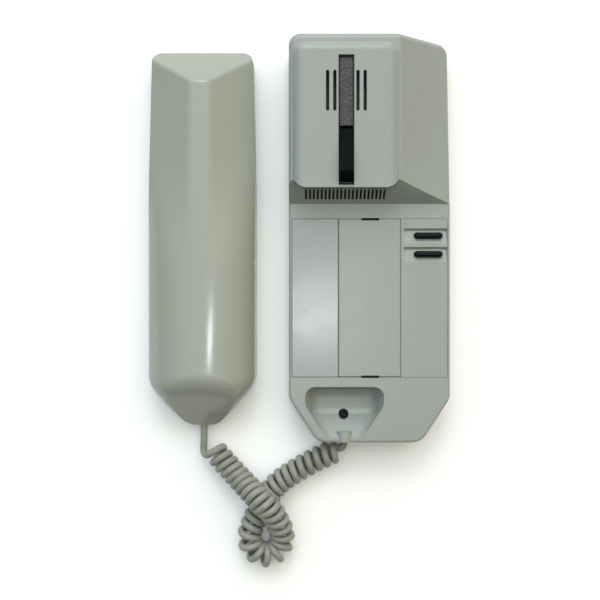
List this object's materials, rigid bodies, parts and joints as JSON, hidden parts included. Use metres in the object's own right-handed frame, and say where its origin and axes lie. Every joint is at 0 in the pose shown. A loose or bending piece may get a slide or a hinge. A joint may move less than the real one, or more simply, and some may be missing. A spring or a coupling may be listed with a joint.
{
  "type": "audio door entry phone",
  "caption": "Wall unit with a hook lever, press buttons and a mouthpiece cup, its handset laid beside it face down and joined to it by a curly cord.",
  "frame": {"origin": "centre of the wall screw pattern, on the back plane of the wall plate", "axes": "+X to the right of the base seen from the front, +Y up the wall, +Z out of the wall, which is up as the object lies on a table"},
  "size_m": [0.1579, 0.2774, 0.0449],
  "materials": {
    "base_plastic": "satin moulded ABS, cool off-white",
    "panel_plastic": "satin moulded ABS, slightly bluish",
    "handset_plastic": "glossy moulded ABS, grey-ivory",
    "black_plastic": "black moulded plastic",
    "slot_texture": "speckled dark texture",
    "steel": "zinc plated",
    "board": "phenolic laminate",
    "connector": "moulded",
    "part_dark": "moulded",
    "paper_cone": "paper and metal",
    "foam": "soft foam",
    "cord_jacket": "grey PVC",
    "ballast": "rough cast"
  },
  "bodies": {
    "base": {"wall_plate": "base_plastic", "front_housing": "base_plastic", "left_panel": "panel_plastic", "centre_cover": "panel_plastic", "button_panel": "base_plastic", "hook_bezel": "black_plastic", "hook_slot_strip": "slot_texture", "hook_pivot_pin": "steel", "hook_switch": "part_dark", "hook_spring": "steel", "circuit_board": "board", "board_screws": "steel", "cover_screw": "steel", "terminal_block": "connector", "terminal_screws": "steel", "capacitors": "part_dark", "relay": "part_dark", "cord_socket": "connector", "door_switch_body": "part_dark", "light_switch_body": "part_dark", "ringer_speaker": "paper_cone", "ringer_gasket": "foam", "base_cord_grommet": "cord_jacket", "cord_coil": "cord_jacket", "cord_base_lead": "cord_jacket"},
    "hook_lever_body": {"hook_lever": "black_plastic"},
    "plunger": {"hook_switch_plunger": "black_plastic"},
    "door_button": {"door_button_cap": "black_plastic", "door_switch_stem": "part_dark"},
    "light_button": {"light_button_cap": "black_plastic", "light_switch_stem": "part_dark"},
    "handset": {"handset_shell": "handset_plastic", "handset_inner_cover": "handset_plastic", "receiver_capsule": "paper_cone", "receiver_gasket": "foam", "microphone_capsule": "steel", "microphone_boot": "foam", "ballast_weight": "ballast", "handset_screws": "steel", "handset_cord_grommet": "cord_jacket", "cord_handset_lead": "cord_jacket"}
  },
  "joints": [
    {"name": "hook_hinge", "type": "hinge", "parent": "base", "child": "hook_lever_body", "pos_m": [-0.013, 0.0575, 0.0326], "axis": [1, 0, 0], "range_deg": [0, 8], "stiffness_Nm_per_rad": 0.05, "springref_deg": -17.19},
    {"name": "hook_plunger", "type": "slide", "parent": "base", "child": "plunger", "axis": [0, 0, -1], "range_m": [0, 0.0029], "deforming": ["hook_spring"]},
    {"name": "door_button_press", "type": "slide", "parent": "base", "child": "door_button", "axis": [0, 0, -1], "range_m": [0, 0.0014], "stiffness_N_per_m": 250, "springref_m": -0.003},
    {"name": "light_button_press", "type": "slide", "parent": "base", "child": "light_button", "axis": [0, 0, -1], "range_m": [0, 0.0014], "stiffness_N_per_m": 250, "springref_m": -0.003},
    {"name": "handset_lift", "type": "slide", "parent": "base", "child": "handset", "axis": [0, 0, 1], "range_m": [0, 0.05]}
  ],
  "couplings": [
    {"joint": "hook_plunger", "follows": "hook_hinge", "m_per_rad": 0.0189}
  ]
}
